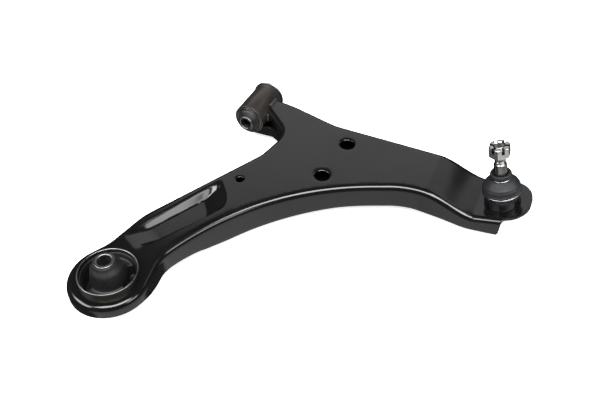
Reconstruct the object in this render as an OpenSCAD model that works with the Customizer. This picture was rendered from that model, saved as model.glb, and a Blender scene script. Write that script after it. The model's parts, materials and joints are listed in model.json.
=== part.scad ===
// Lower control arm, right-hand side: a stamped steel L-arm with a horizontal front bush,
// an upright rear bush and a ball joint at its outboard end.
// Origin: centre of the front bush bore. +Y: along the swing axis, from the rear bush to the
// front bush. +X: outboard, to the ball joint. +Z: up.

/* [Arm layout] */
// Distance along Y from the front bush back to the rear bush
bush_span = 322; // [315:1:330]
// Height of the stamping's flat top above the swing axis
plate_z = 10; // [9:0.5:11]
// Ball joint axis where it crosses the seat, measured outboard along X
joint_x = 330.7; // [326:0.5:336]
// Ball joint axis where it crosses the seat, measured along Y
joint_y = -41.5; // [-43:0.5:-40]
// Inboard lean of the ball joint, in degrees
joint_lean = 14.5; // [12:0.5:16]

/* [Stampings] */
// Thickness of the upper stamping
sheet_t = 3.2; // [2.8:0.1:3.6]
// Depth of the upper stamping's flange below its top
flange_depth = 29; // [27:0.5:31]
// Depth of the flange round the rear bush
rear_flange_depth = 14; // [13:0.5:16]
// Radius of the stamping's end round the rear bush
rear_end_r = 42; // [41:0.5:43]
// Depth of the long pocket pressed into the rear leg
pocket_depth = 8; // [5:0.5:9]
// Radius of the two tooling holes
tool_hole_r = 8.8; // [7:0.1:9.5]
// Radius of the drain hole in the rear leg
drain_hole_r = 4.5; // [3.5:0.1:5]
// Thickness of the lower closing plate
lower_t = 2.5; // [2:0.1:3]

/* [Front bush] */
// Outer radius of the welded housing tube
tube_r = 20; // [19:0.5:21]
// Length of the housing tube
tube_length = 56; // [52:1:60]
// Outer radius of the bush shell, which is pressed into the tube
front_shell_r = 16.8; // [16.2:0.1:17.2]
// Radius of the shell's flange at the forward end
front_flange_r = 21.5; // [20.5:0.5:22]
// Outer radius of the inner sleeve
front_sleeve_r = 10; // [9.5:0.1:10.5]
// Bore radius of both inner sleeves, for a 14 mm bolt
sleeve_bore_r = 7.1; // [7:0.05:7.3]
// Length of the front inner sleeve
front_sleeve_length = 75; // [70:1:80]

/* [Rear bush] */
// Outer radius of the rear bush shell
rear_shell_r = 30.3; // [29.8:0.1:30.8]
// Height of the rear bush shell
rear_shell_height = 29; // [27:0.5:30]
// Height of the shell's rim above the stamping
rear_rim_rise = 6.5; // [5:0.5:8]
// Outer radius of the rear inner sleeve
rear_sleeve_r = 10.2; // [9.8:0.1:10.8]
// Length of the rear inner sleeve
rear_sleeve_length = 61; // [57:1:64]
// Thickness of both bush shells
shell_t = 1.5; // [1.2:0.1:2]

/* [Ball joint] */
// Radius of the ball
ball_r = 12; // [11.6:0.1:12]
// Outer radius of the ball joint housing
housing_r = 19.5; // [19:0.1:20]
// Height of the ball's centre above the seat
ball_rise = 8; // [7.5:0.5:9]
// Radius of the boot's lower clamp ring
boot_ring_r = 21.2; // [20.8:0.1:21.6]
// Height of the stud's end above the ball's centre
stud_height = 68; // [66:0.5:70]
// Nominal thread radius of the stud
thread_r = 6; // [5.5:0.5:6.5]
// Width of the castle nut across its flats
nut_flats = 21; // [19:0.5:22]
// Height of the castle nut
nut_height = 12.5; // [12:0.5:15]

/* [Hidden] */
$fn = 64;

steel_black = [0.09, 0.09, 0.09];
rubber_black = [0.13, 0.13, 0.14];
zinc = [0.72, 0.72, 0.70];
bright_steel = [0.6, 0.6, 0.6];
acetal_white = [0.86, 0.84, 0.78];

fit_gap = 0.05;
rear = [0, -bush_span];
lean_tan = tan(joint_lean);
flange_z = plate_z - flange_depth;
rear_flange_z = plate_z - rear_flange_depth;
rear_mid_z = plate_z + rear_rim_rise - rear_shell_height / 2;
edge_r = 7;
arc_step = 6;
big = 400;
overrun = 1;

// Plan outline of the stamping, as corners [x, y, fillet radius]. The stretch round the rear
// bush is an arc, which the corners either side of it leave and join along its tangents.
near_wall_y = -77;
far_wall_y = -1;
near_tangent = 12;
far_tangent = 153;
function on_rear(angle, along) = rear + rear_end_r * [cos(angle), sin(angle)]
    + along * [-sin(angle), cos(angle)];
function with_r(point, r) = [point[0], point[1], r];
outboard_corners = [
    with_r(on_rear(near_tangent, 34), 38),
    [77, -147, 295],
    [227, near_wall_y, 80],
    [336, near_wall_y, 1],
    [338, -71.9, 1],
    [361, -67, 28],
    [361, -5, 32],
    [300, far_wall_y, 300],
    [111, far_wall_y, 60],
    [47, 14.5, 40],
    [10, 19, 0]
];
crotch_corners = [
    [12, -4, 0],
    [59, -44, 32],
    [50.5, -91, 50],
    [-19.5, -236, 80],
    with_r(on_rear(far_tangent, -20), 50)
];
loop = concat(
    [with_r(on_rear(near_tangent, 0), 0)], outboard_corners, crotch_corners,
    [with_r(on_rear(far_tangent, 0), 0)]
);

function xy(p) = [p[0], p[1]];
function unit(v) = v / norm(v);
// Points of the arc that rounds the corner p, between its neighbours a and b
function fillet(a, p, b) =
    p[2] == 0 ? [xy(p)] :
    let (
        u = unit(xy(a) - xy(p)),
        v = unit(xy(b) - xy(p)),
        half = acos(max(-1, min(1, u * v))) / 2,
        centre = xy(p) + unit(u + v) * p[2] / sin(half),
        start = xy(p) + u * p[2] / tan(half) - centre,
        turn = 180 - 2 * half,
        way = u[0] * v[1] - u[1] * v[0] > 0 ? -1 : 1,
        steps = max(1, ceil(turn / arc_step))
    )
    [for (i = [0 : steps]) let (t = way * turn * i / steps)
        centre + [start[0] * cos(t) - start[1] * sin(t), start[0] * sin(t) + start[1] * cos(t)]];
rear_sweep = 360 - far_tangent + near_tangent;
rear_steps = ceil(rear_sweep / arc_step);
rear_arc = [for (i = [1 : rear_steps - 1]) on_rear(far_tangent + rear_sweep * i / rear_steps, 0)];
last = len(loop) - 1;
outline = concat(
    [for (i = [0 : last]) each fillet(loop[max(0, i - 1)], loop[i], loop[min(last, i + 1)])],
    rear_arc
);

// Height of the stamping's top along X: flat, down an S-bend, then up along the tilted seat
bend_start = 246;
bend_end = 306;
function seat_z(x) = (x - joint_x) * lean_tan;
function smooth(t) = t * t * (3 - 2 * t);
function top_z(x) = x <= bend_start ? plate_z :
    x >= bend_end ? seat_z(x) :
    plate_z + (seat_z(bend_end) - plate_z) * smooth((x - bend_start) / (bend_end - bend_start));
bend_steps = 8;
top_line = concat(
    [[-big, plate_z]],
    [for (i = [0 : bend_steps]) let (x = bend_start + (bend_end - bend_start) * i / bend_steps)
        [x, top_z(x)]],
    [[big, seat_z(big)]]
);
// Lower edge of the flange along X, which dips under the bend, and along Y
flange_end_x = 337;
flange_line = [
    [big, flange_z - 1], [flange_end_x, flange_z - 1], [300, flange_z - 5.5],
    [272, flange_z - 2], [243, flange_z], [160, flange_z], [110, flange_z - 3],
    [64, flange_z - 5], [50, flange_z], [-big, flange_z]
];
rear_flange_line = [
    [-220, flange_z - 5], [-236, flange_z + 1], [-257, flange_z + 4],
    [-300, rear_flange_z - 8.5],
    [rear[1] - 3, rear_flange_z], [-big, rear_flange_z]
];

module plan(inset) {
    offset(delta = -inset) polygon(outline);
}

// The outline with its top edge rounded in steps, which a quarter circle passes through
round_steps = 4;
module rounded_prism(inset) {
    for (i = [0 : round_steps - 1]) {
        turn = 90 * i / (round_steps - 1);
        rise = edge_r * sin(min(90, 90 * (i + 0.5) / (round_steps - 1)));
        translate([0, 0, -big / 4]) linear_extrude(plate_z - inset - edge_r + rise + big / 4)
            plan(inset + edge_r * (1 - cos(turn)));
    }
}

module along_y(y0, y1) {
    translate([0, y1, 0]) rotate([90, 0, 0]) linear_extrude(y1 - y0) children();
}

module along_x(x0, x1) {
    translate([x0, 0, 0]) rotate([90, 0, 90]) linear_extrude(x1 - x0) children();
}

module at_joint() {
    translate([joint_x, joint_y, 0]) rotate([0, -joint_lean, 0]) children();
}

module at_ball() {
    at_joint() translate([0, 0, ball_rise]) children();
}

module at_rear(z) {
    translate([rear[0], rear[1], z]) children();
}

// The room that the housing tube takes out of what is welded to it
module tube_space() {
    rotate([90, 0, 0]) cylinder(r = tube_r, h = 2 * tube_length, center = true);
}

module ring(outer, inner, z0, z1) {
    translate([0, 0, z0]) difference() {
        cylinder(r = outer, h = z1 - z0);
        translate([0, 0, -overrun]) cylinder(r = inner, h = z1 - z0 + 2 * overrun);
    }
}

module through_hole(r) {
    cylinder(r = r, h = 2 * flange_depth, center = true);
}

// Long pocket in the rear leg, narrower towards the rear bush
pocket_rear = [9, -256];
pocket_front = [41, -187];
pocket_rear_r = 11.5;
pocket_front_r = 14;
module pocket(grow, floor_z) {
    translate([0, 0, floor_z]) linear_extrude(big) hull() {
        translate(pocket_rear) circle(r = pocket_rear_r + grow);
        translate(pocket_front) circle(r = pocket_front_r + grow);
    }
}

tool_holes = [[138.4, -32.5], [133, -97]];
drain_hole = [50, -143];

module upper_stamping() {
    color(steel_black) difference() {
        intersection() {
            rounded_prism(0);
            along_y(-big, big) polygon(concat(top_line, flange_line));
            along_x(-big, big) polygon(concat(
                [[big, big], [big, -big], [rear_flange_line[0][0], -big]],
                rear_flange_line, [[-big, big]]
            ));
        }
        difference() {
            intersection() {
                rounded_prism(sheet_t);
                along_y(-big, big) polygon(concat([for (p = top_line) p - [0, sheet_t]],
                    [[big, -big], [-big, -big]]));
            }
            pocket(sheet_t, plate_z - pocket_depth - sheet_t);
        }
        pocket(0, plate_z - pocket_depth);
        along_y(-big, big) polygon([
            [flange_end_x, seat_z(flange_end_x) - sheet_t], [flange_end_x, -big],
            [big, -big], [big, seat_z(big) - sheet_t]
        ]);
        tube_space();
        at_rear(0) through_hole(rear_shell_r);
        at_joint() through_hole(housing_r);
        for (hole = tool_holes) translate(hole) through_hole(tool_hole_r);
        translate(drain_hole) through_hole(drain_hole_r);
    }
}

// Closing plate inside the flange
lower_plate_z = flange_z + 4.5;
lower_rear_y = -250;
lower_outer_x = 292;
access_hole = [182, -50];
access_hole_r = 11;
module lower_plate() {
    color(steel_black) difference() {
        intersection() {
            translate([0, 0, lower_plate_z]) linear_extrude(lower_t) plan(sheet_t);
            translate([-big, lower_rear_y, -big / 2]) cube([big + lower_outer_x, big, big]);
        }
        tube_space();
        translate(access_hole) through_hole(access_hole_r);
    }
}

module front_tube() {
    color(steel_black) rotate([90, 0, 0])
        ring(tube_r, front_shell_r, -tube_length / 2, tube_length / 2);
}

// Collar under the stamping, which the rear bush is pressed into. Its upper edge is chamfered
// clear of the stamping's bend.
collar_t = 3;
collar_chamfer = 2;
module rear_collar() {
    outer = rear_shell_r + collar_t;
    bottom = rear_mid_z - rear_shell_height / 2 + 1;
    top = plate_z - sheet_t;
    color(steel_black) at_rear(0) rotate_extrude() polygon([
        [rear_shell_r, bottom], [outer, bottom], [outer, top - collar_chamfer],
        [outer - collar_chamfer, top], [rear_shell_r, top]
    ]);
}

// The stamping's whole outline as a block, which what stands outside it is trimmed by
module stamping_space() {
    translate([0, 0, -big / 4]) linear_extrude(big / 4 + plate_z) polygon(outline);
}

// Saddle that carries the tube's rearward half from below, outside the stamping's flange
saddle_t = 2.5;
saddle_top_z = -6;
saddle_front = [[30, -6], [2, 6]];
saddle_edge = [[2, -27.5], [33, -26], [44, -32]];
saddle_edge_inside = [[44, -29], [33, -23.5], [2, -25]];
module front_saddle() {
    color(steel_black) difference() {
        translate([0, 0, flange_z]) {
            linear_extrude(saddle_t) polygon(concat(saddle_edge, saddle_front));
            linear_extrude(saddle_top_z - flange_z)
                polygon(concat(saddle_edge, saddle_edge_inside));
        }
        tube_space();
        stamping_space();
    }
}

// A weld bead as a chain of overlapping drops
module bead(from, to, r, count) {
    step = (to - from) / count;
    for (i = [0 : count])
        translate(from + step * i) sphere(r = r, $fn = 16);
}

// One bead along the tube on top of the stamping, and one down the stamping's cut edge
bead_r = 2.5;
module tube_welds() {
    bead_x = sqrt(tube_r * tube_r - plate_z * plate_z) + bead_r / 2;
    corner_y = -13;
    color(steel_black) difference() {
        union() {
            bead([bead_x, -2, plate_z], [bead_x, 15, plate_z], bead_r, 7);
            bead([bead_x + 1.3, corner_y, plate_z - 5], [bead_x + 1.3, corner_y, saddle_top_z],
                bead_r, 5);
        }
        tube_space();
        stamping_space();
    }
}

// Stitch welds that hold the closing plate inside the flange
stitch_r = 1.8;
stitch_length = 20;
near_stitches = [257, 281];
far_stitches = [135, 185, 235, 278];
module stitch(x, y, side) {
    translate([x, y, lower_plate_z]) intersection() {
        rotate([0, 90, 0]) cylinder(r = stitch_r, h = stitch_length, center = true);
        translate([0, side * stitch_r, -stitch_r])
            cube([stitch_length, 2 * stitch_r, 2 * stitch_r], center = true);
    }
}
module plate_welds() {
    color(steel_black) {
        for (x = near_stitches) stitch(x, near_wall_y + sheet_t, 1);
        for (x = far_stitches) stitch(x, far_wall_y - sheet_t, -1);
    }
}

// Fillet weld where the housing's barrel passes under the seat
module housing_weld() {
    leg = 3;
    color(steel_black) at_joint() rotate_extrude()
        polygon([[housing_r, -sheet_t], [housing_r + leg, -sheet_t], [housing_r, -sheet_t - leg]]);
}

// Bush shell, flanged against the forward end of the tube
module front_bush_shell() {
    lip = 2.5;
    color(steel_black) rotate([-90, 0, 0]) {
        ring(front_shell_r, front_shell_r - shell_t, -tube_length / 2, tube_length / 2 + lip);
        ring(front_flange_r, front_shell_r, tube_length / 2, tube_length / 2 + lip);
    }
}

// Rubber between shell and sleeve, with a cone that stands out at each end
module front_bush_rubber() {
    half = tube_length / 2;
    inner = front_sleeve_r + fit_gap;
    outer = front_shell_r - shell_t;
    cone = 6;
    color(rubber_black) rotate([-90, 0, 0]) rotate_extrude() polygon([
        [inner, -half - cone], [inner + 2, -half - cone], [outer - 1.5, -half - 1],
        [outer, -half + 3], [outer, half - 1], [outer - 1.5, half + 3], [inner + 2, half + cone],
        [inner, half + cone]
    ]);
}

module front_inner_sleeve() {
    color(bright_steel) rotate([90, 0, 0])
        ring(front_sleeve_r, sleeve_bore_r, -front_sleeve_length / 2, front_sleeve_length / 2);
}

module rear_bush_shell() {
    color(bright_steel) at_rear(rear_mid_z)
        ring(rear_shell_r, rear_shell_r - shell_t, -rear_shell_height / 2, rear_shell_height / 2);
}

// Upright bush rubber: a thick body with a tall upper cone and two kidney-shaped voids, which
// a thin web closes at the bottom
void_turn = 27;
void_spread = 38;
module rear_bush_rubber() {
    half = rear_shell_height / 2;
    inner = rear_sleeve_r + fit_gap;
    outer = rear_shell_r - shell_t;
    top = rear_sleeve_length / 2 - 1;
    void_in = 18;
    void_out = 27;
    void_floor = -half + 4;
    color(rubber_black) at_rear(rear_mid_z) difference() {
        rotate_extrude() polygon([
            [inner, -half - 8], [inner + 3, -half - 8], [void_in - 1, -half + 1],
            [outer, -half + 2], [outer, half - 3], [void_in + 1, half - 1], [15.5, half + 7],
            [inner + 1.3, top - 3], [inner + 1.3, top], [inner, top]
        ]);
        for (side = [0, 180]) rotate([0, 0, void_turn + side - void_spread])
            rotate_extrude(angle = 2 * void_spread)
                translate([void_in, void_floor]) square([void_out - void_in, 2 * top]);
    }
}

module rear_inner_sleeve() {
    color(bright_steel) at_rear(rear_mid_z)
        ring(rear_sleeve_r, sleeve_bore_r, -rear_sleeve_length / 2, rear_sleeve_length / 2);
}

// Heights in the ball joint are measured from the ball's centre along the joint's axis
barrel_bottom = -17;
barrel_top = 6;
barrel_bore_r = 16;
lip_t = 1.6;
mouth_r = ball_r - 0.6;
cap_z = -14.5;
cap_t = 2.2;
cap_seat = 1.5;
socket_r = ball_r + 1.3;
module ball_housing() {
    color(steel_black) at_ball() rotate_extrude() polygon([
        [barrel_bore_r, cap_z], [barrel_bore_r - cap_seat, cap_z - cap_t],
        [barrel_bore_r - cap_seat, barrel_bottom], [housing_r - 1, barrel_bottom],
        [housing_r, barrel_bottom + 1], [housing_r, barrel_top - 1],
        [housing_r - 1, barrel_top], [housing_r - 1, barrel_top + 3.5],
        [mouth_r + 2, barrel_top + 3.5], [mouth_r, barrel_top + 1.8], [mouth_r, barrel_top + 1],
        [barrel_bore_r, barrel_top - lip_t]
    ]);
}

module ball_socket() {
    color(acetal_white) at_ball() difference() {
        ring(barrel_bore_r, mouth_r, -4, barrel_top - lip_t);
        sphere(r = socket_r);
    }
}

// Thin floating shell between ball and socket
module ball_liner() {
    color(acetal_white) at_ball() difference() {
        intersection() {
            sphere(r = socket_r - fit_gap);
            cylinder(r = socket_r + overrun, h = 10, center = true);
        }
        sphere(r = ball_r + fit_gap);
    }
}

// Lower half of the ball's seat, which the spring washer presses up
disc_bottom = -11.5;
module pressure_disc() {
    disc_t = 6;
    color(acetal_white) at_ball() difference() {
        translate([0, 0, disc_bottom]) cylinder(r = barrel_bore_r, h = disc_t);
        sphere(r = socket_r);
    }
}

module preload_spring() {
    spring_t = 1;
    color(bright_steel) at_ball() rotate_extrude() polygon([
        [7, disc_bottom], [7, disc_bottom - spring_t], [15.5, cap_z], [15.5, cap_z + spring_t]
    ]);
}

module end_cap() {
    color(steel_black) at_ball() translate([0, 0, cap_z - cap_t])
        cylinder(r1 = barrel_bore_r - cap_seat, r2 = barrel_bore_r, h = cap_t);
}

// Boot: a closed dome of rubber from the lower ring to the neck that grips the stud
boot_foot_z = 8;
boot_foot_r = housing_r + 0.8;
boot_ring_z = 26;
boot_groove_r = 10.4;
boot_top_z = 32.5;
neck_r = 7.7;
module dust_boot() {
    outside = [
        [boot_foot_r, boot_foot_z - 1.5], [boot_foot_r, boot_foot_z + 1.5], [20.8, 12], [20, 16],
        [17.5, 20], [13.5, 23.5], [boot_groove_r, boot_ring_z - 1], [boot_groove_r, boot_ring_z + 1],
        [11.8, 29], [11.6, boot_top_z]
    ];
    inside = [
        [neck_r + fit_gap, boot_top_z - 1], [neck_r + fit_gap, boot_ring_z], [9, 24], [12, 22],
        [16, 18.5], [18.2, 15], [18.8, 12], [housing_r - 1, boot_foot_z + 1.5],
        [housing_r - 1, boot_foot_z - 1.5]
    ];
    color(rubber_black) at_ball() rotate_extrude() polygon(concat(outside, inside));
}

module boot_lower_ring() {
    color(bright_steel) at_ball()
        ring(boot_ring_r, boot_foot_r, boot_foot_z - 1, boot_foot_z + 1);
}

module boot_upper_ring() {
    color(bright_steel) at_ball()
        ring(11.5, boot_groove_r + fit_gap, boot_ring_z - 0.9, boot_ring_z + 0.9);
}

// Ball, neck, taper and threaded end
module ball_stud() {
    waist_r = 6;
    shank_top = 46;
    shank_top_r = 6.9;
    color(bright_steel) at_ball() {
        sphere(r = ball_r);
        rotate_extrude() polygon([
            [0, 0], [waist_r, ball_r - 3], [waist_r, 17], [neck_r, 20], [neck_r, boot_top_z],
            [shank_top_r, shank_top - 1], [thread_r, shank_top], [thread_r, stud_height - 1],
            [thread_r - 1, stud_height], [0, stud_height]
        ]);
    }
}

nut_base = 56;
slot_w = 3.4;
slot_depth = 6.5;
nut_turn = 33.5;
module castle_nut() {
    corner_r = nut_flats / 2 / cos(30);
    color(zinc) at_ball() translate([0, 0, nut_base]) rotate([0, 0, nut_turn]) difference() {
        cylinder(r = corner_r, h = nut_height, $fn = 6);
        translate([0, 0, -overrun]) cylinder(r = thread_r, h = nut_height + 2 * overrun);
        for (i = [0 : 2]) rotate([0, 0, 60 * i + 30])
            translate([-2 * corner_r, -slot_w / 2, nut_height - slot_depth])
                cube([4 * corner_r, slot_w, slot_depth + overrun]);
    }
}

upper_stamping();
lower_plate();
front_tube();
front_saddle();
rear_collar();
tube_welds();
plate_welds();
housing_weld();
front_bush_shell();
front_bush_rubber();
front_inner_sleeve();
rear_bush_shell();
rear_bush_rubber();
rear_inner_sleeve();
ball_housing();
ball_socket();
ball_liner();
pressure_disc();
preload_spring();
end_cap();
dust_boot();
boot_lower_ring();
boot_upper_ring();
ball_stud();
castle_nut();
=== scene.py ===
"""Looks of the lower control arm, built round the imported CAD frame.

Lengths in this file are millimetres in the row frame, and become metres when a mesh is made.
"""
import json
import math

import bmesh
import bpy
from mathutils import Matrix, Vector, noise
from mathutils.geometry import delaunay_2d_cdt


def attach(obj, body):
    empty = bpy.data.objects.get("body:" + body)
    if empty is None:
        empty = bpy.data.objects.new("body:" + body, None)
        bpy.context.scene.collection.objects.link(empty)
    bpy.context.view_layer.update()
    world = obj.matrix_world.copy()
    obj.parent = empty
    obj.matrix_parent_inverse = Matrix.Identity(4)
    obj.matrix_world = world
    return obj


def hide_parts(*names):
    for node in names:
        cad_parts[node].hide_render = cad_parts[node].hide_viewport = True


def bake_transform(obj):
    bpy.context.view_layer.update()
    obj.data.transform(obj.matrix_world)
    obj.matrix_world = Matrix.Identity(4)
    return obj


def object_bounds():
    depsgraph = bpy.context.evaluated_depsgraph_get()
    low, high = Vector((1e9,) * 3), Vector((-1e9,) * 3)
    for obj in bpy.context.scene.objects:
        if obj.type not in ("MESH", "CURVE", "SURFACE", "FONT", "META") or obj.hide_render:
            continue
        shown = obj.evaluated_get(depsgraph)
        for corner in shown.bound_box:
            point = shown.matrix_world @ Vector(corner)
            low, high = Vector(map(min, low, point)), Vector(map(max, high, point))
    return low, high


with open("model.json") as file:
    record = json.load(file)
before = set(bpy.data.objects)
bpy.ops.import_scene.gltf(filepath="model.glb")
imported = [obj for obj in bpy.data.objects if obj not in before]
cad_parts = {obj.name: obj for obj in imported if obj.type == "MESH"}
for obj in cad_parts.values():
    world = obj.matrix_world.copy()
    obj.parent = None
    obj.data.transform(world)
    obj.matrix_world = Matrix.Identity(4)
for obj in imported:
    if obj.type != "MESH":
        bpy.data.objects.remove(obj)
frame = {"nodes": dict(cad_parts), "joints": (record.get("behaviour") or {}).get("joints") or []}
cad_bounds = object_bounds()

MM = 0.001


# ---------------------------------------------------------------- places from the frame

def joint_named(name):
    return next(j for j in frame["joints"] if j["name"] == name)


def mm(point_m):
    return Vector(point_m) / MM


BALL = mm(joint_named("ball_swing_travel")["pos_m"])
STUD_AXIS = Vector(joint_named("ball_stud_spin")["axis"]).normalized()
REAR = mm(joint_named("rear_bush_tilt")["pos_m"])
BALL_RISE = 8.0
SEAT = BALL - STUD_AXIS * BALL_RISE
FLOOR_Z = cad_bounds[0].z / MM

AT_BALL = Matrix.Translation(BALL) @ Matrix.Rotation(math.atan2(STUD_AXIS.x, STUD_AXIS.z), 4, "Y")
AT_REAR = Matrix.Translation(REAR)
ALONG_Y = Matrix.Rotation(math.radians(-90), 4, "X")


# ---------------------------------------------------------------- camera and light

CAMERA_PLACE = Vector((344.2, -616.1, 510.2))
CAMERA_AIM = Vector((122.9, -136.2, 0.0))
CAMERA_LENS = 39.0


def add_camera():
    data = bpy.data.cameras.new("camera")
    data.lens = CAMERA_LENS
    data.sensor_width = 36.0
    data.clip_start = 0.01
    data.clip_end = 50.0
    camera = bpy.data.objects.new("camera", data)
    bpy.context.scene.collection.objects.link(camera)
    camera.location = CAMERA_PLACE * MM
    forward = CAMERA_AIM * MM - CAMERA_PLACE * MM
    camera.rotation_euler = forward.to_track_quat("-Z", "Y").to_euler()
    bpy.context.scene.camera = camera


# Soft panels round the part: compass angle and height of the middle, half sizes, softness of
# the edges (all in degrees), and brightness, where 1 is the white background
PANELS = [
    (112.5, 33, 19.5, 12.5, 3, 2, 0.86),
    (67, 39.3, 26, 6.4, 3, 1.0, 0.72),
    (-33, -50, 73, 36, 9, 8, 0.8),
    (-55, 63.5, 60, 11.0, 6, 2, 15.0),
    (-141, 42, 27, 9, 7, 4, 11.0),
    (-3, 33, 15, 8, 5, 3, 7.0),
]
ROOM_GLOW = 0.05


def add_world():
    """A dim room with soft panels, so that glossy black shows them as crisp bands. Seen
    directly, behind the floor's edge, it is plain white."""
    world = bpy.data.worlds.new("studio")
    bpy.context.scene.world = world
    world.use_nodes = True
    tree = world.node_tree
    tree.nodes.clear()

    def node(kind, *values, **settings):
        made = tree.nodes.new(kind)
        for name, value in settings.items():
            setattr(made, name, value)
        for socket, value in zip(made.inputs, values):
            if isinstance(value, bpy.types.NodeSocket):
                tree.links.new(value, socket)
            else:
                socket.default_value = value
        return made.outputs[0]

    def maths(operation, *values):
        return node("ShaderNodeMath", *values, operation=operation)

    coord = tree.nodes.new("ShaderNodeTexCoord").outputs["Generated"]
    split = tree.nodes.new("ShaderNodeSeparateXYZ")
    tree.links.new(coord, split.inputs[0])
    compass = maths("ARCTAN2", split.outputs["Y"], split.outputs["X"])
    height = maths("ARCSINE", split.outputs["Z"])
    total = None
    for panel in PANELS:
        turn, rise, half_turn, half_rise, soft_turn, soft_rise = map(math.radians, panel[:6])
        off = maths("ABSOLUTE", maths("WRAP", maths("SUBTRACT", compass, turn), math.pi, -math.pi))
        up = maths("ABSOLUTE", maths("SUBTRACT", height, rise))
        wide = node("ShaderNodeMapRange", off, half_turn + soft_turn, half_turn - soft_turn,
                    0.0, 1.0, interpolation_type="SMOOTHSTEP")
        tall = node("ShaderNodeMapRange", up, half_rise + soft_rise, half_rise - soft_rise,
                    0.0, panel[6], interpolation_type="SMOOTHSTEP")
        glow = maths("MULTIPLY", wide, tall)
        total = maths("ADD", glow, total if total is not None else ROOM_GLOW)
    seen = tree.nodes.new("ShaderNodeLightPath").outputs["Is Camera Ray"]
    back = node("ShaderNodeBackground", (1, 1, 1, 1), maths("MAXIMUM", total, seen))
    out = tree.nodes.new("ShaderNodeOutputWorld")
    tree.links.new(back, out.inputs[0])


FLOOR_HALF_M = 6.0
FLOOR_GAP_M = 0.0002
FLOOR_GREY = 0.8
FLOOR_GLOW = 0.8


def add_floor():
    """White floor, which glossy surfaces don't mirror: the panels stand in for it there."""
    mesh = bpy.data.meshes.new("floor")
    half = FLOOR_HALF_M
    z = FLOOR_Z * MM - FLOOR_GAP_M
    mesh.from_pydata([(-half, -half, z), (half, -half, z), (half, half, z), (-half, half, z)],
                     [], [(0, 1, 2, 3)])
    floor = bpy.data.objects.new("floor", mesh)
    bpy.context.scene.collection.objects.link(floor)
    floor.visible_glossy = False
    material = bpy.data.materials.new("floor_white")
    material.use_nodes = True
    shader = material.node_tree.nodes["Principled BSDF"]
    settings = {"Base Color": (FLOOR_GREY, FLOOR_GREY, FLOOR_GREY, 1), "Roughness": 0.9,
                "Specular IOR Level": 0.0, "Emission Color": (1, 1, 1, 1),
                "Emission Strength": FLOOR_GLOW}
    for name, value in settings.items():
        shader.inputs[name].default_value = value
    mesh.materials.append(material)


def light_scene():
    add_world()
    add_floor()
    scene = bpy.context.scene
    scene.view_settings.view_transform = "Standard"
    scene.view_settings.look = "None"


# ---------------------------------------------------------------- materials

MIX_FACTOR, MIX_FIRST, MIX_SECOND, MIX_RESULT = 0, 6, 7, 2


class Nodes:
    """Short names for building a material's node tree."""

    def __init__(self, name):
        self.material = bpy.data.materials.new(name)
        self.material.use_nodes = True
        self.tree = self.material.node_tree
        self.shader = self.tree.nodes["Principled BSDF"]
        self.coord = self.tree.nodes.new("ShaderNodeTexCoord").outputs["Object"]

    def new(self, kind, **sockets):
        node = self.tree.nodes.new(kind)
        for name, value in sockets.items():
            self.put(node, name.replace("_", " "), value)
        return node

    def put(self, node, socket, value):
        if isinstance(value, bpy.types.NodeSocket):
            self.tree.links.new(value, node.inputs[socket])
        else:
            node.inputs[socket].default_value = value

    def noise(self, scale, detail=3.0, stretch=None, rough=0.55):
        where = self.coord
        if stretch:
            mapping = self.new("ShaderNodeMapping", Vector=where, Scale=stretch)
            where = mapping.outputs["Vector"]
        node = self.new("ShaderNodeTexNoise", Vector=where, Scale=scale, Detail=detail,
                        Roughness=rough)
        return node.outputs["Fac"]

    def ramp(self, value, stops):
        node = self.new("ShaderNodeValToRGB", Fac=value)
        elements = node.color_ramp.elements
        elements[0].position, elements[1].position = stops[0][0], stops[-1][0]
        for position, _ in stops[1:-1]:
            elements.new(position)
        for element, (_, colour) in zip(elements, stops):
            if not hasattr(colour, "__len__"):
                colour = (colour,) * 3
            element.color = (*colour, 1)
        return node.outputs["Color"]

    def mix(self, factor, a, b):
        node = self.tree.nodes.new("ShaderNodeMix")
        node.data_type = "RGBA"
        self.put(node, MIX_FACTOR, factor)
        for socket, colour in ((MIX_FIRST, a), (MIX_SECOND, b)):
            if not isinstance(colour, bpy.types.NodeSocket):
                colour = (*colour, 1)
            self.put(node, socket, colour)
        return node.outputs[MIX_RESULT]

    def maths(self, operation, a, b=None):
        node = self.tree.nodes.new("ShaderNodeMath")
        node.operation = operation
        self.put(node, 0, a)
        if b is not None:
            self.put(node, 1, b)
        return node.outputs[0]

    def bump(self, height, strength, distance_mm, before=None):
        node = self.new("ShaderNodeBump", Height=height, Strength=strength,
                        Distance=distance_mm * MM)
        if before is not None:
            self.put(node, "Normal", before)
        return node.outputs["Normal"]

    def finish(self, **sockets):
        for name, value in sockets.items():
            if name.endswith("colour"):
                name = name.replace("_colour", "_Color")
                if not isinstance(value, bpy.types.NodeSocket):
                    value = (*value, 1)
            self.put(self.shader, name.replace("_", " "), value)
        return self.material


def scaled(colour, factor):
    return tuple(c * factor for c in colour)


DUST_GREY = (0.35, 0.35, 0.36)


def paint(name, colour, rough, orange_peel=0.25, dust=0.0):
    """Black electrocoat: mottled depth, faint orange peel, scattered dust specks."""
    n = Nodes(name)
    broad = n.noise(14.0, 4.0)
    tint = n.ramp(broad, [(0.3, scaled(colour, 0.75)), (0.7, scaled(colour, 1.3))])
    if dust:
        specks = n.ramp(n.noise(900.0, 2.0, rough=0.7), [(0.66, 0.0), (0.74, dust)])
        tint = n.mix(specks, tint, DUST_GREY)
    gloss = n.ramp(n.noise(40.0, 4.0), [(0.25, rough * 0.85), (0.75, rough * 1.2)])
    peel = n.bump(n.noise(420.0, 2.0), orange_peel, 0.06)
    waves = n.bump(n.noise(30.0, 2.0), 0.25, 0.3, peel)
    return n.finish(Base_colour=tint, Roughness=gloss, Normal=waves)


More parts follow.
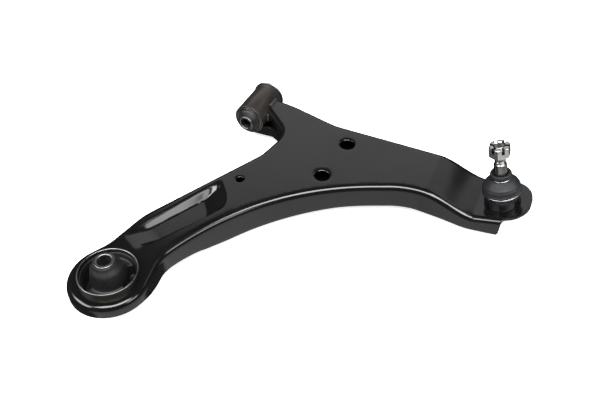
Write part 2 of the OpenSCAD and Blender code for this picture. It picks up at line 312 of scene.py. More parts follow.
def rubber(name, colour, rough, grain=0.5, dust=0.25):
    """Moulded rubber: fine grain, chalky bloom and small nicks."""
    n = Nodes(name)
    bloom = n.ramp(n.noise(55.0, 6.0, rough=0.65), [(0.42, 0.0), (0.75, dust)])
    tint = n.mix(bloom, colour, scaled(colour, 3.2))
    gloss = n.ramp(n.noise(80.0, 4.0), [(0.3, rough * 0.85), (0.7, min(1.0, rough * 1.15))])
    fine = n.bump(n.noise(1500.0, 3.0), grain, 0.05)
    coarse = n.bump(n.noise(160.0, 3.0), 0.35, 0.12, fine)
    return n.finish(Base_colour=tint, Roughness=gloss, Normal=coarse)


def steel(name, colour, rough, scratch=0.35, stain=None, ring_scale=None, axis=None):
    """Bare or plated steel with fine scratches, and turned rings when an axis is given."""
    n = Nodes(name)
    cloud = n.noise(70.0, 5.0)
    tint = n.ramp(cloud, [(0.25, scaled(colour, 0.72)), (0.75, scaled(colour, 1.15))])
    if stain:
        spots = n.ramp(n.noise(230.0, 6.0, rough=0.7), [(0.52, 0.0), (0.68, 0.55)])
        tint = n.mix(spots, tint, stain)
    gloss = n.ramp(n.noise(120.0, 5.0), [(0.25, rough * 0.75), (0.75, rough * 1.35)])
    normal = n.bump(n.noise(1300.0, 4.0), scratch, 0.04)
    if ring_scale:
        dot = n.tree.nodes.new("ShaderNodeVectorMath")
        dot.operation = "DOT_PRODUCT"
        n.put(dot, 0, n.coord)
        n.put(dot, 1, tuple(axis))
        rings = n.maths("SINE", n.maths("MULTIPLY", dot.outputs["Value"], ring_scale))
        normal = n.bump(rings, 0.12, 0.03, normal)
    return n.finish(Base_colour=tint, Metallic=1.0, Roughness=gloss, Normal=normal)


def plastic(name, colour):
    n = Nodes(name)
    tint = n.ramp(n.noise(60.0, 3.0), [(0.3, scaled(colour, 0.9)), (0.7, colour)])
    gloss = n.ramp(n.noise(200.0, 3.0), [(0.3, 0.3), (0.7, 0.45)])
    return n.finish(Base_colour=tint, Roughness=gloss, Normal=n.bump(n.noise(800.0), 0.2, 0.03))


ECOAT = paint("ecoat_black", (0.0035, 0.0035, 0.0038), 0.125)
TUBE_PAINT = paint("tube_black", (0.018, 0.0145, 0.013), 0.27, dust=0.1)
# Weld paint, its base colour lifted well above the arm's black as a painted highlight on the
# beads.
WELD_PAINT_WITH_PAINTED_HIGHLIGHT = paint("weld_black", (0.035, 0.035, 0.036), 0.12, orange_peel=0.6, dust=0.5)
HOUSING_PAINT = paint("housing_black", (0.006, 0.006, 0.007), 0.16, orange_peel=0.5, dust=0.3)
BUSH_RUBBER = rubber("bush_rubber", (0.006, 0.006, 0.0065), 0.5)
BOOT_RUBBER = rubber("boot_rubber", (0.004, 0.0044, 0.0053), 0.56, grain=1.0, dust=1.0)
RIM_STEEL = steel("bush_rim_steel", (0.34, 0.34, 0.33), 0.30)
SHELL_STEEL = steel("bush_shell_steel", (0.10, 0.098, 0.085), 0.42)
SLEEVE_STEEL = steel("sleeve_steel", (0.32, 0.315, 0.31), 0.34)
SLEEVE_FACE = steel("sleeve_face_steel", (0.11, 0.11, 0.112), 0.45,
                    stain=(0.26, 0.26, 0.26))
RING_STEEL = steel("ring_steel", (0.42, 0.42, 0.43), 0.2, scratch=0.15)
STUD_STEEL = steel("stud_steel", (0.25, 0.245, 0.235), 0.26, ring_scale=5200.0, axis=STUD_AXIS,
                   stain=(0.09, 0.085, 0.08))
ZINC = steel("zinc", (0.66, 0.665, 0.64), 0.34, stain=(0.32, 0.31, 0.27), scratch=0.6)
# Dark steel for the faces inside the nut's slots: painted shade in the slots.
SLOT_PAINTED_SHADE = steel("slot_painted_shade", (0.05, 0.048, 0.045), 0.5)
ACETAL = plastic("acetal", (0.78, 0.76, 0.70))


# ---------------------------------------------------------------- mesh helpers

def new_object(name, verts, faces, *materials):
    mesh = bpy.data.meshes.new(name)
    mesh.from_pydata([Vector(v) * MM for v in verts], [], faces)
    mesh.validate()
    for material in materials:
        mesh.materials.append(material)
    obj = bpy.data.objects.new(name, mesh)
    bpy.context.scene.collection.objects.link(obj)
    return obj


def add_modifier(obj, kind, **settings):
    modifier = obj.modifiers.new(kind.lower(), kind)
    for name, value in settings.items():
        setattr(modifier, name, value)
    return modifier


def apply_modifiers(obj):
    """Turns the object's evaluated mesh into its own mesh."""
    graph = bpy.context.evaluated_depsgraph_get()
    mesh = bpy.data.meshes.new_from_object(obj.evaluated_get(graph), depsgraph=graph)
    obj.modifiers.clear()
    old = obj.data
    obj.data = mesh
    bpy.data.meshes.remove(old)
    mesh.name = obj.name


def smooth(obj, angle=32.0):
    """Smooth shading with sharp edges where the surface turns by more than the angle."""
    work = bmesh.new()
    work.from_mesh(obj.data)
    bmesh.ops.recalc_face_normals(work, faces=work.faces)
    limit = math.radians(angle)
    for face in work.faces:
        face.smooth = True
    for edge in work.edges:
        edge.smooth = len(edge.link_faces) == 2 and edge.calc_face_angle(0.0) < limit
    work.to_mesh(obj.data)
    work.free()


def stand(obj, body, slot, *nodes):
    """obj replaces CAD nodes and rides on a body. The slot is not used."""
    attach(obj, body)
    if nodes:
        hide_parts(*nodes)
    return obj


def bend(obj, place, still, moving, start, end):
    """Bakes obj's transform into its mesh. The place, the two bodies and the two heights are not
    used.
    """
    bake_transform(obj)


def unit(t):
    """The flat direction at an angle in radians."""
    return Vector((math.cos(t), math.sin(t)))


def spun(v, t):
    """A flat vector turned by an angle in radians."""
    return Vector((v.x * math.cos(t) - v.y * math.sin(t),
                   v.x * math.sin(t) + v.y * math.cos(t)))


def rounded(profile, radius, steps=4, closed=True):
    """The profile with every corner turned into a small arc. A third value sets its radius."""
    points = [Vector(p[:2]) for p in profile]
    radii = [p[2] if len(p) > 2 else radius for p in profile]
    count = len(points)
    done = []
    for i, p in enumerate(points):
        if not closed and i in (0, count - 1) or radii[i] == 0:
            done.append(p)
            continue
        a, b = points[i - 1] - p, points[(i + 1) % count] - p
        reach_limit = 0.45 * min(a.length, b.length)
        half = a.angle(b, math.pi) / 2
        nearly_straight = half > math.radians(88)
        if nearly_straight or reach_limit < 1e-4:
            done.append(p)
            continue
        reach = min(radii[i] / math.tan(half), reach_limit)
        r = reach * math.tan(half)
        centre = p + (a.normalized() + b.normalized()).normalized() * (r / math.sin(half))
        start = p + a.normalized() * reach - centre
        turn = math.pi - 2 * half
        way = -1 if a.x * b.y - a.y * b.x > 0 else 1
        done += [centre + spun(start, way * turn * k / steps) for k in range(steps + 1)]
    return done


def lathe(name, profile, place, *materials, steps=96, shift=None, pick=None, closed=True):
    """A profile of (radius, height) turned about place's Z axis. shift(r, z, angle) moves a
    point, and pick(r, z) chooses a face's material."""
    verts, faces = [], []
    count = len(profile)
    for i in range(steps):
        angle = 2 * math.pi * i / steps
        for r, z in profile:
            if shift:
                r, z = shift(r, z, angle)
            verts.append(place @ Vector((r * math.cos(angle), r * math.sin(angle), z)))
    for i in range(steps):
        j = (i + 1) % steps
        for k in range(count if closed else count - 1):
            m = (k + 1) % count
            faces.append((i * count + k, j * count + k, j * count + m, i * count + m))
    obj = new_object(name, verts, faces, *materials)
    if pick:
        for face in obj.data.polygons:
            k = face.index % (count if closed else count - 1)
            middle = (profile[k] + profile[(k + 1) % count]) / 2
            face.material_index = pick(middle.x, middle.y)
    clean(obj)
    return obj


def turned(name, profile, place, materials, crease, body, slot, node, **options):
    """A lathed piece with smooth shading, which stands in for a CAD node."""
    obj = lathe(name, profile, place, *materials, **options)
    smooth(obj, crease)
    return stand(obj, body, slot, node)


def prism(name, low, high):
    """A closed solid between two matching outlines."""
    count = len(low)
    faces = [(k, (k + 1) % count, count + (k + 1) % count, count + k) for k in range(count)]
    faces += [tuple(reversed(range(count))), tuple(range(count, 2 * count))]
    obj = new_object(name, low + high, faces)
    clean(obj)
    return obj


MERGE_MM = 0.01


def clean(obj):
    """Merges doubled points, drops slivers and turns every face outward."""
    work = bmesh.new()
    work.from_mesh(obj.data)
    bmesh.ops.remove_doubles(work, verts=work.verts, dist=MERGE_MM * MM)
    bmesh.ops.dissolve_degenerate(work, edges=work.edges, dist=MERGE_MM * MM / 4)
    bmesh.ops.recalc_face_normals(work, faces=work.faces)
    work.to_mesh(obj.data)
    work.free()


def tube_along(points, radius_at, sides):
    """Rings of vertices swept along points. radius_at(i) may vary along the way."""
    verts, faces = [], []
    count = len(points)
    never_along = Vector((0.13, 0.21, 0.97))
    for i, p in enumerate(points):
        ahead = points[i + 1] if i < count - 1 else p
        behind = points[i - 1] if i > 0 else p
        forward = (ahead - behind).normalized()
        side = forward.cross(never_along).normalized()
        over = side.cross(forward)
        r = radius_at(i)
        for k in range(sides):
            t = 2 * math.pi * k / sides
            verts.append(p + side * (r * math.cos(t)) + over * (r * math.sin(t)))
    for i in range(count - 1):
        j = i + 1
        for k in range(sides):
            m = (k + 1) % sides
            faces.append((i * sides + k, i * sides + m, j * sides + m, j * sides + k))
    faces.append(tuple(range(sides)))
    faces.append(tuple(reversed(range((count - 1) * sides, count * sides))))
    return verts, faces


# ---------------------------------------------------------------- the stamping's shape

PLATE_Z = 10.0
SHEET_T = 3.2
EDGE_R = 7.0
REAR_END_R = 42.0
NEAR_TANGENT, FAR_TANGENT = 12.0, 153.0
NEAR_WALL_Y, FAR_WALL_Y = -77.0, -1.0
FLANGE_END_X = 337.0
FLANGE_Z, REAR_FLANGE_Z = -19.0, -4.0
REAR_XY = Vector((REAR.x, REAR.y))
SEAT_XY = Vector((SEAT.x, SEAT.y))
SEAT_SLOPE = -STUD_AXIS.x / STUD_AXIS.z
BEND_START, BEND_END = 246.0, 306.0
REAR_HOLE_R = 30.3
HOUSING_R = 19.5
TOOL_HOLES = [(Vector((138.4, -32.5)), 8.8), (Vector((133.0, -97.0)), 8.8)]
DRAIN_HOLE = (Vector((50.0, -143.0)), 4.5)


def on_rear(angle, along=0.0):
    """A point on the rear end's circle, or further along its tangent there."""
    c, s = math.cos(math.radians(angle)), math.sin(math.radians(angle))
    return REAR_XY + REAR_END_R * Vector((c, s)) + along * Vector((-s, c))


def fillet(a, p, b, r, step):
    """Points of the arc of radius r that rounds corner p between its neighbours."""
    if r == 0:
        return [p]
    u, v = (a - p).normalized(), (b - p).normalized()
    half = u.angle(v) / 2
    centre = p + (u + v).normalized() * (r / math.sin(half))
    start = p + u * (r / math.tan(half)) - centre
    turn = math.pi - 2 * half
    way = -1 if u.x * v.y - u.y * v.x > 0 else 1
    count = max(2, math.ceil(turn * r / step))
    return [centre + spun(start, way * turn * i / count) for i in range(count + 1)]


def path_through(corners, step):
    """A fine polyline along the corners, each given as (point, fillet radius)."""
    rough = []
    last = len(corners) - 1
    for i, (p, r) in enumerate(corners):
        rough += fillet(corners[max(0, i - 1)][0], p, corners[min(last, i + 1)][0], r, step)
    return resample(rough, step)


def resample(points, step):
    """The polyline cut into even lengths close to step."""
    kept = [points[0]]
    for p in points[1:]:
        if (p - kept[-1]).length > 1e-4:
            kept.append(p)
    total = sum((b - a).length for a, b in zip(kept, kept[1:]))
    count = max(2, round(total / step))
    out, i, walked = [kept[0]], 0, 0.0
    for k in range(1, count):
        target = total * k / count
        while walked + (kept[i + 1] - kept[i]).length < target:
            walked += (kept[i + 1] - kept[i]).length
            i += 1
        share = (target - walked) / (kept[i + 1] - kept[i]).length
        out.append(kept[i].lerp(kept[i + 1], share))
    out.append(kept[-1])
    return out


PATH_STEP = 2.0


def rear_arc(first, last):
    count = max(2, math.ceil(math.radians(abs(last - first)) * REAR_END_R / PATH_STEP))
    return [on_rear(first + (last - first) * i / count) for i in range(count + 1)]


LOBE_NEAR = (Vector((333.0, -44.34)), 28.0)
LOBE_FAR = (Vector((329.0, -34.97)), 32.0)


def flanged_path():
    """The outer wall's line, from the near flange's end round the rear and back to the far
    flange's end, running clockwise seen from above."""
    near = [
        (Vector((FLANGE_END_X, NEAR_WALL_Y)), 0), (Vector((227, NEAR_WALL_Y)), 80),
        (Vector((77, -147)), 295), (on_rear(NEAR_TANGENT, 34), 38), (on_rear(NEAR_TANGENT), 0)
    ]
    far = [
        (on_rear(FAR_TANGENT), 0), (on_rear(FAR_TANGENT, -20), 50), (Vector((-19.5, -236)), 80),
        (Vector((50.5, -91)), 50), (Vector((59, -44)), 32), (Vector((12, -4)), 9),
        (Vector((10, 19)), 9), (Vector((47, 14.5)), 40), (Vector((111, FAR_WALL_Y)), 60),
        (Vector((300, FAR_WALL_Y)), 300), (Vector((331.1, -3.04)), 0),
        (Vector((FLANGE_END_X, -3.99)), 0)
    ]
    arc = rear_arc(NEAR_TANGENT, FAR_TANGENT - 360)
    return path_through(near, PATH_STEP)[:-1] + arc + path_through(far, PATH_STEP)[1:]


def ease(t):
    t = min(1.0, max(0.0, t))
    return t * t * (3 - 2 * t)


def seat_z(x):
    return (x - SEAT.x) * SEAT_SLOPE


def plate_height(x):
    """Height of the sheet's top along X: flat, an S-bend, then the tilted seat."""
    if x <= BEND_START:
        return PLATE_Z
    return PLATE_Z + (seat_z(max(x, BEND_END)) - PLATE_Z) * ease(
        (x - BEND_START) / (BEND_END - BEND_START))


def line_value(table, x):
    for (x0, z0), (x1, z1) in zip(table, table[1:]):
        if x <= x1:
            return z0 + (z1 - z0) * max(0.0, (x - x0) / (x1 - x0))
    return table[-1][1]


FLANGE_LINE = [(50, FLANGE_Z), (64, FLANGE_Z - 5), (110, FLANGE_Z - 3), (160, FLANGE_Z),
               (243, FLANGE_Z), (272, FLANGE_Z - 2), (300, FLANGE_Z - 5.5),
               (FLANGE_END_X, FLANGE_Z - 1)]
REAR_FLANGE_LINE = [(-325, REAR_FLANGE_Z), (-300, REAR_FLANGE_Z - 8.5), (-257, FLANGE_Z + 4),
                    (-236, FLANGE_Z + 1), (-220, FLANGE_Z - 5), (-219, -100)]


def flange_bottom(p):
    """Height of the flange's lower edge, with its corners eased along the wall."""
    offsets = (-6.0, -3.0, 0.0, 3.0, 6.0)
    total = 0.0
    for offset in offsets:
        total += max(line_value(FLANGE_LINE, p.x + offset),
                     line_value(REAR_FLANGE_LINE, p.y + offset))
    return total / len(offsets)


# The long pocket in the rear leg, in coordinates along the leg and across it
POCKET_CENTRE = Vector((20.0, -222.0))
POCKET_ALONG = Vector((0.44, 0.898))
POCKET_ACROSS = Vector((0.898, -0.44))
POCKET_DEPTH = 8.0


def wall_profile(t):
    """Rises from the pocket's rounded rim to the crisp lower edge of its wall."""
    t = min(1.0, max(0.0, t))
    bend = 0.34
    risen = t * t / (2 * bend) if t < bend else t - bend / 2
    return risen / (1 - bend / 2)


def pocket_depth(p):
    rel = p - POCKET_CENTRE
    u, v = rel.dot(POCKET_ALONG), rel.dot(POCKET_ACROSS)
    half = 19.0 + 0.04 * u
    side = wall_profile((half - abs(v)) / 8.2)
    front_end = 60.0 - 0.42 * v - 0.018 * max(0.0, v) ** 2
    front = ease((front_end - u) / 30.0)
    corner = ease((front_end - u) / 9.0)
    rear = ease((u + 63.0) / 32.0)
    return (POCKET_DEPTH + 0.03 * u) * side * (0.72 * front + 0.28 * corner) * rear


def rim_drop(p):
    """Sheet drawn slightly down round the punched holes."""
    drop = 0.0
    for centre, r in [*TOOL_HOLES, DRAIN_HOLE]:
        reach = 0.28 * r + 0.8
        gap = (p - centre).length - r
        if gap < reach:
            drop += 0.16 * reach * (1 - max(0.0, gap) / reach) ** 2 * 2
    return drop


def skin_height(p):
    return plate_height(p.x) - pocket_depth(p) - rim_drop(p)


def circle_points(centre, r, spacing):
    count = max(16, round(2 * math.pi * r / spacing))
    return [centre + r * unit(2 * math.pi * i / count) for i in range(count)]


def inside(p, polygon):
    hit = False
    j = len(polygon) - 1
    for i in range(len(polygon)):
        a, b = polygon[i], polygon[j]
        if (a.y > p.y) != (b.y > p.y) and p.x < (b.x - a.x) * (p.y - a.y) / (b.y - a.y) + a.x:
            hit = not hit
        j = i
    return hit


class NearGrid:
    """Answers whether any stored point lies within a distance."""

    def __init__(self, cell):
        self.cell = cell
        self.cells = {}

    def key(self, p):
        return (math.floor(p.x / self.cell), math.floor(p.y / self.cell))

    def add(self, p):
        self.cells.setdefault(self.key(p), []).append(p)

    def close(self, p, gap):
        kx, ky = self.key(p)
        reach = math.ceil(gap / self.cell)
        for ix in range(kx - reach, kx + reach + 1):
            for iy in range(ky - reach, ky + reach + 1):
                for q in self.cells.get((ix, iy), ()):
                    if (q - p).length < gap:
                        return True
        return False


def outward_normals(path):
    """Left-hand normals of a clockwise path, which point away from the sheet."""
    normals = []
    last = len(path) - 1
    for i in range(len(path)):
        d = (path[min(last, i + 1)] - path[max(0, i - 1)]).normalized()
        normals.append(Vector((-d.y, d.x)))
    return normals


LOBE_STEP = 1.6


def lobe_edge(start, end):
    """Free edge of the flangeless lobe, from the near flange's end to the far one."""
    points = []
    for (centre, r), first, last in ((LOBE_NEAR, start, None), (LOBE_FAR, None, end)):
        a0 = 0.0 if first is None else math.atan2(first.y - centre.y, first.x - centre.x)
        a1 = 0.0 if last is None else math.atan2(last.y - centre.y, last.x - centre.x)
        count = max(2, round(abs(a1 - a0) * r / LOBE_STEP))
        points += [centre + r * unit(a0 + (a1 - a0) * i / count) for i in range(count + 1)]
    return points[1:-1]


POCKET_STEP_ALONG, POCKET_STEP_ACROSS = 1.15, 1.0
# Lattice outside the pocket: spacing, and the X range that it covers
LATTICES = ((2.0, 240, 375), (3.2, -45, 240))
LATTICE_START_Y, LATTICE_LENGTH_Y = -365, 400


def fill_points(outer, holes):
    """Interior points: a fine lattice on the pocket, a medium one on the bend, else coarse."""
    taken = NearGrid(3.0)
    for p in outer:
        taken.add(p)
    kept = []
    for centre, r, ring_gaps in holes:
        for gap in ring_gaps:
            for p in circle_points(centre, r + gap, RIM_STEP + 0.15 * gap):
                kept.append(p)
                taken.add(p)

    def try_add(p, gap):
        if any((p - c).length < r + gap * 0.6 for c, r, _ in holes):
            return
        if not taken.close(p, gap) and inside(p, outer):
            kept.append(p)
            taken.add(p)

    for i in range(-66, 70):
        for k in range(-24, 25):
            p = (POCKET_CENTRE + POCKET_ALONG * (i * POCKET_STEP_ALONG)
                 + POCKET_ACROSS * (k * POCKET_STEP_ACROSS))
            try_add(p, 0.75)
    for spacing, x0, x1 in LATTICES:
        rows = math.ceil(LATTICE_LENGTH_Y / spacing)
        for i in range(math.ceil((x1 - x0) / spacing)):
            for k in range(rows):
                stagger = 0.5 * spacing * (i % 2)
                p = Vector((x0 + i * spacing, LATTICE_START_Y + k * spacing + stagger))
                try_add(p, 0.72 * spacing)
    return kept


ARC_STEPS = 9
WALL_STEPS = 7
RIM_STEP = 1.3
# Rings of points kept round a punched hole, and round the two bores, outward from the edge
HOLE_RINGS = (0.0, 0.5, 1.1, 1.9, 3.0)
REAR_RINGS = (0.0, 1.3)
SEAT_RINGS = (0.0, 1.2)
# Lengths over which the flange's ends are drawn into the lobe's edge, and its far end is raised
WARP_LENGTH, LIFT_LENGTH, LIFT = 28.0, 22.0, 0.75
FLANGE_CORNER_R = 3.0
# How far each row of the near flange's end runs past the flange, into the lobe's edge
NOTCH = [6.8, 3.6, 1.9, 1.0, 0.5, 0.2, 0.05]


def end_shift(k, near, flat):
    """How far row k's last point moves outboard, to lie on the lobe's edge."""
    if near:
        return NOTCH[k] if k < len(NOTCH) else 0.0
    if k > ARC_STEPS:
        return 0.0
    centre, r = LOBE_FAR
    return centre.x + math.sqrt(max(0.0, r * r - (flat.y - centre.y) ** 2)) - flat.x


def stamping_skin():
    """Vertices and faces of the sheet's outer skin, before it is given a thickness."""
    path = flanged_path()
    normals = outward_normals(path)
    count = len(path)
    rows = ARC_STEPS + WALL_STEPS + 1
    verts, faces = [], []
    turns = [math.radians(90) * min(1.0, k / ARC_STEPS) for k in range(rows)]
    insets = [EDGE_R * (1 - math.sin(turn)) for turn in turns]
    far_ends = [path[-1] - normals[-1] * inset for inset in insets]
    for i, (p, n) in enumerate(zip(path, normals)):
        near = i < count / 2
        from_end = (i if near else count - 1 - i) * PATH_STEP
        warp = ease(1 - from_end / WARP_LENGTH)
        lift = 0.0 if near else LIFT * ease(1 - from_end / LIFT_LENGTH)
        for k in range(rows):
            flat = p - n * insets[k]
            flat.x += warp * end_shift(k, near, far_ends[k])
            z = plate_height(flat.x) - EDGE_R * (1 - math.cos(turns[k])) * (1 - lift)
            if k > ARC_STEPS:
                corner = max(0.0, FLANGE_CORNER_R - from_end)
                round_off = math.sqrt(FLANGE_CORNER_R ** 2 - corner * corner)
                bottom = flange_bottom(p) + FLANGE_CORNER_R - round_off
                z = z + (bottom - z) * (k - ARC_STEPS) / WALL_STEPS
            verts.append(Vector((flat.x, flat.y, z)))
    for i in range(count - 1):
        for k in range(rows - 1):
            a, b = i * rows + k, (i + 1) * rows + k
            faces.append((a, a + 1, b + 1, b))

    inner = [i * rows for i in range(count)]
    inner_xy = [Vector((verts[i].x, verts[i].y)) for i in inner]
    edge = lobe_edge(inner_xy[0], inner_xy[-1])
    outer = inner_xy + list(reversed(edge))
    holes = [(c, r, HOLE_RINGS) for c, r in [*TOOL_HOLES, DRAIN_HOLE]]
    holes.append((REAR_XY, REAR_HOLE_R, REAR_RINGS))
    holes.append((SEAT_XY, HOUSING_R, SEAT_RINGS))
    lattice = fill_points(outer, holes)

    points = list(outer)
    loops = [list(range(len(outer)))]
    for centre, r, _ in holes:
        ring = circle_points(centre, r, RIM_STEP)
        loops.append(list(range(len(points), len(points) + len(ring))))
        points += ring
    edges = [(loop[i], loop[(i + 1) % len(loop)]) for loop in loops for i in range(len(loop))]
    rims = NearGrid(3.0)
    for p in points[len(outer):]:
        rims.add(p)
    points += [p for p in lattice if not rims.close(p, 0.2)]
    made, _, triangles, source, _, _ = delaunay_2d_cdt(points, edges, [], 0, 1e-4)
    fixed = len(inner_xy)
    index = {}
    for new, origins in enumerate(source):
        old = next((o for o in origins if o < fixed), None)
        if old is not None:
            index[new] = inner[old]
        else:
            index[new] = len(verts)
            p = made[new]
            verts.append(Vector((p.x, p.y, skin_height(p))))
    for triangle in triangles:
        middle = sum((made[i] for i in triangle), Vector((0, 0))) / len(triangle)
        if any((middle - c).length < r for c, r, _ in holes):
            continue
        if inside(middle, outer):
            faces.append(tuple(index[i] for i in triangle))
    return verts, faces


def cylinder_cutter(name, r, length, place):
    profile = [Vector((0, -length / 2)), Vector((r, -length / 2)),
               Vector((r, length / 2)), Vector((0, length / 2))]
    return lathe(name, profile, place, steps=128, closed=False)


def cut(obj, cutter):
    add_modifier(obj, "BOOLEAN", operation="DIFFERENCE", object=cutter, solver="EXACT")
    apply_modifiers(obj)
    data = cutter.data
    bpy.data.objects.remove(cutter)
    bpy.data.meshes.remove(data)


def make_stamping():
    verts, faces = stamping_skin()
    stamping = new_object("stamping", verts, faces, ECOAT)
    clean(stamping)
    work = bmesh.new()
    work.from_mesh(stamping.data)
    up = sum(1 if f.normal.z > 0.9 else -1 if f.normal.z < -0.9 else 0 for f in work.faces)
    if up < 0:
        bmesh.ops.reverse_faces(work, faces=work.faces)
    work.to_mesh(stamping.data)
    work.free()
    add_modifier(stamping, "SOLIDIFY", thickness=SHEET_T * MM, offset=-1.0, use_rim=True,
                 use_even_offset=True, thickness_clamp=0.0)
    apply_modifiers(stamping)
    tube_place = Matrix.Rotation(math.radians(90), 4, "X")
    cut(stamping, cylinder_cutter("tube_cut", TUBE_R - 0.3, 120, tube_place))
    add_modifier(stamping, "BEVEL", width=0.45 * MM, segments=2, limit_method="ANGLE",
                 angle_limit=math.radians(55), use_clamp_overlap=True)
    apply_modifiers(stamping)
    smooth(stamping, 50)
    return stand(stamping, "arm", "ecoat_black", "upper_stamping")


# ---------------------------------------------------------------- front bush

TUBE_R, TUBE_HALF = 20.0, 28.0
SHELL_R = 16.8
SHELL_T = 1.5
COLLAR_R = 21.5
SLEEVE_BORE_R = 7.1


def make_front_bush():
    half = TUBE_HALF
    tube = rounded([(TUBE_R, -half, 1.1), (TUBE_R, half, 1.1), (SHELL_R, half, 0.5),
                    (SHELL_R, -half, 0.9)], 1.0)
    turned("housing_tube", tube, ALONG_Y, [TUBE_PAINT], 40, "arm", "tube_black", "front_tube",
           steps=128)

    inner = SHELL_R - SHELL_T
    shell = rounded([
        (inner, -half + 0.2, 0.5), (SHELL_R, -half + 0.2, 0.5), (SHELL_R, half + 0.2, 0.8),
        (COLLAR_R, half + 0.2, 0.9), (COLLAR_R, half + 2.5, 0.9), (inner, half + 2.5, 1.2)], 0.6)

    # The front end and the far collar take the lighter, smoother rim steel.
    def light_rim_band(r, z):
        return int(z < -half + 0.7 or (r > COLLAR_R - 1.0 and z < half + 1.3))

    turned("front_shell", shell, ALONG_Y, [SHELL_STEEL, RIM_STEEL], 40, "arm",
           "bush_shell_steel", "front_bush_shell", steps=128, pick=light_rim_band)

    lip = 10.05
    core = rounded([
        (lip, -33.6, 0.5), (12.2, -33.8, 0.9), (13.0, -30.6, 1.6), (14.6, -29.0, 1.2),
        (15.3, -26.2, 0.6), (15.3, 27.0, 0.6), (14.8, 30.6, 1.4), (13.4, 31.6, 1.4),
        (12.4, 33.8, 0.8), (lip, 33.6, 0.5)], 0.6, steps=5)
    turned("front_rubber", core, ALONG_Y, [BUSH_RUBBER], 45, "arm", "bush_rubber",
           "front_bush_rubber", steps=128)
    make_sleeve("front_sleeve", 10.0, 75.0, ALONG_Y, "front_sleeve", "front_inner_sleeve")


def make_sleeve(name, r, length, place, body, node):
    half = length / 2
    profile = rounded([(r, -half, 0.7), (r, half, 0.7), (SLEEVE_BORE_R, half, 0.9),
                       (SLEEVE_BORE_R, -half, 0.9)], 0.7, steps=5)
    turned(name, profile, place, [SLEEVE_STEEL, SLEEVE_FACE], 45, body, "sleeve_steel", node,
           steps=96, pick=lambda r, z: int(abs(z) > half - 0.02))


# ---------------------------------------------------------------- rear bush

REAR_SHELL_TOP = 14.5
COLLAR_FOOT, COLLAR_T = -13.0, 3.0


def make_rear_bush():
    top = REAR_SHELL_TOP
    outer = REAR_HOLE_R
    inner = outer - SHELL_T
    shell = rounded([(inner, -top, 0.5), (outer, -top, 0.5), (outer, top, 0.55),
                     (inner, top, 0.7)], 0.5, steps=5)
    # The top band of the rear shell takes the lighter, smoother rim steel.
    turned("rear_shell", shell, AT_REAR, [SHELL_STEEL, RIM_STEEL], 45, "arm",
           "bush_shell_steel", "rear_bush_shell", steps=160,
           pick=lambda r, z: int(z > top - 0.75))

    under_sheet = PLATE_Z - REAR.z - SHEET_T
    collar = rounded([(outer, COLLAR_FOOT, 0.6), (outer + COLLAR_T, COLLAR_FOOT, 0.9),
                      (outer + COLLAR_T, under_sheet, 0.3), (outer, under_sheet, 0.3)], 0.6)
    turned("bush_collar", collar, AT_REAR, [ECOAT], 45, "arm", "ecoat_black", "rear_collar",
           steps=128)
    make_rear_rubber(inner)
    make_sleeve("rear_sleeve", 10.2, 61.0, AT_REAR, "rear_sleeve", "rear_inner_sleeve")


def kidney(name, mid_r, half_width, half_angle, turn, z0, z1):
    """An arc-shaped slot's volume with full round ends."""
    arc, ends = 22, 10
    spread = half_angle - math.degrees(half_width / mid_r)
    outline = []
    for side, back in ((1, 0.0), (-1, math.pi)):
        r = mid_r + side * half_width
        outline += [unit(math.radians(turn - side * spread + 2 * side * spread * i / arc)) * r
                    for i in range(arc + 1)]
        tip = math.radians(turn + side * spread)
        outline += [unit(tip) * mid_r + unit(tip + back + math.pi * i / ends) * half_width
                    for i in range(1, ends)]
    low, high = ([AT_REAR @ Vector((p.x, p.y, z)) for p in outline] for z in (z0, z1))
    return prism(name, low, high)


RUBBER_SPLIT = -11.6
VOXEL = 0.62
# Middle radius, half width and half angle of the rubber's two voids, where they point, and
# the thickness left under them: a rubber floor that closes each void as painted shade
VOID_R, VOID_HALF_WIDTH, VOID_HALF_ANGLE = 22.3, 3.9, 40.0
VOID_TURNS = (27.0, 207.0)
VOID_SHADE_FLOOR = 4.0


def finish_rear_rubber(core, start, end):
    """Rounds the moulded shape and bakes its transform. The two heights are not used."""
    add_modifier(core, "REMESH", mode="VOXEL", voxel_size=VOXEL * MM)
    apply_modifiers(core)
    add_modifier(core, "SMOOTH", factor=0.5, iterations=4)
    apply_modifiers(core)
    core.data.materials.clear()
    core.data.materials.append(BUSH_RUBBER)
    smooth(core, 180)
    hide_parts("rear_bush_rubber")
    bend(core, AT_REAR, "arm", "rear_sleeve", start, end)


def make_rear_rubber(outer):
    """The rubber in two pieces, above and below the split height."""
    inner = 10.25
    top = rounded([
        (inner, RUBBER_SPLIT, 0), (outer, RUBBER_SPLIT, 0),
        (outer, 10.4, 0.6), (27.4, 10.0, 1.2), (26.2, 4.0, 1.6), (19.2, 4.6, 2.0),
        (17.9, 12.5, 3.0), (15.9, 21.0, 5.0), (12.2, 26.0, 2.0), (11.7, 29.0, 0.5),
        (inner, 29.4, 0.3)], 0.6, steps=6)
    core = lathe("rear_rubber_top", top, AT_REAR, BUSH_RUBBER, steps=128)
    # The voids stop above the rubber's bottom, so a rubber floor closes them: painted shade.
    for turn in VOID_TURNS:
        cut(core, kidney("void_cut", VOID_R, VOID_HALF_WIDTH, VOID_HALF_ANGLE, turn,
                         VOID_SHADE_FLOOR - REAR_SHELL_TOP, 30.0))
    finish_rear_rubber(core, 12.0, 28.0)
    low = rounded([
        (inner, -22.0, 0.6), (13.0, -22.4, 1.2), (16.5, -13.8, 3.0), (outer - 1.0, -12.5, 0.4),
        (outer, RUBBER_SPLIT, 0), (inner, RUBBER_SPLIT, 0)], 0.6, steps=6)
    foot = lathe("rear_rubber_foot", low, AT_REAR, BUSH_RUBBER, steps=128)
    finish_rear_rubber(foot, -12.0, -22.0)


# ---------------------------------------------------------------- ball joint

CRIMPS = 46
CRIMP_DEPTH = 0.28


